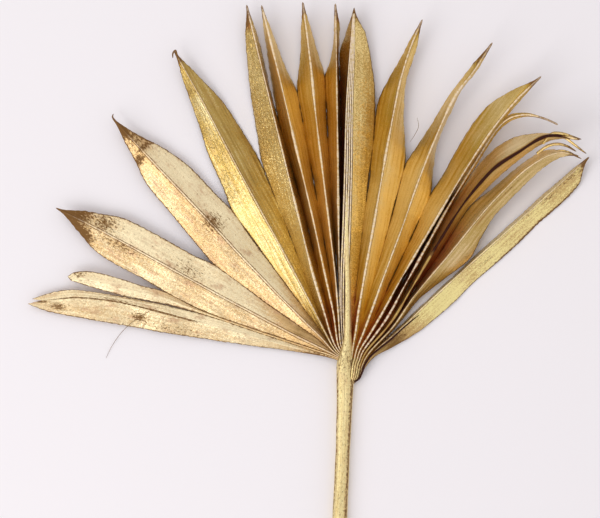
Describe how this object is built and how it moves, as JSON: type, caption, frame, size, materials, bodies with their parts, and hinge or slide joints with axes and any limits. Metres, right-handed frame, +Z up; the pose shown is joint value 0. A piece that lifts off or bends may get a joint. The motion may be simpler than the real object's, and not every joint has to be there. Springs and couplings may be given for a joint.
{
  "type": "fan palm leaf",
  "caption": "Dried fan palm leaf sprayed gold, lying flat: a straight stalk and a pleated fan of narrow pointed segments, open at one side.",
  "frame": {"origin": "under the stalk's head, where the leaf segments leave it, on the flat underside that the leaf rests on", "axes": "+Y along the fan's middle, away from the stalk; +Z up, off the surface; +X to the side whose tips curl up"},
  "size_m": [0.2806, 0.4218, 0.0241],
  "materials": {
    "stalk": "dry woody stalk under a thin coat of gold spray paint, satin, with fibres and worn edges",
    "pale_blade": "dried leaf under pale champagne-gold spray paint, satin, specked where the leaf shows through",
    "deep_blade": "dried leaf under deep amber-gold spray paint, satin, brown in the folds and at the tips"
  },
  "bodies": {
    "root": {"stalk": "stalk", "segment_01": "pale_blade", "segment_02": "pale_blade", "segment_03": "pale_blade", "segment_04": "pale_blade", "segment_05": "deep_blade", "segment_06": "deep_blade", "segment_07": "deep_blade", "segment_08": "deep_blade", "segment_09": "deep_blade", "segment_10": "deep_blade", "segment_11": "deep_blade", "segment_12": "deep_blade", "segment_13": "deep_blade", "segment_14": "deep_blade", "segment_15": "deep_blade", "segment_16": "deep_blade", "segment_17": "deep_blade"}
  },
  "joints": []
}
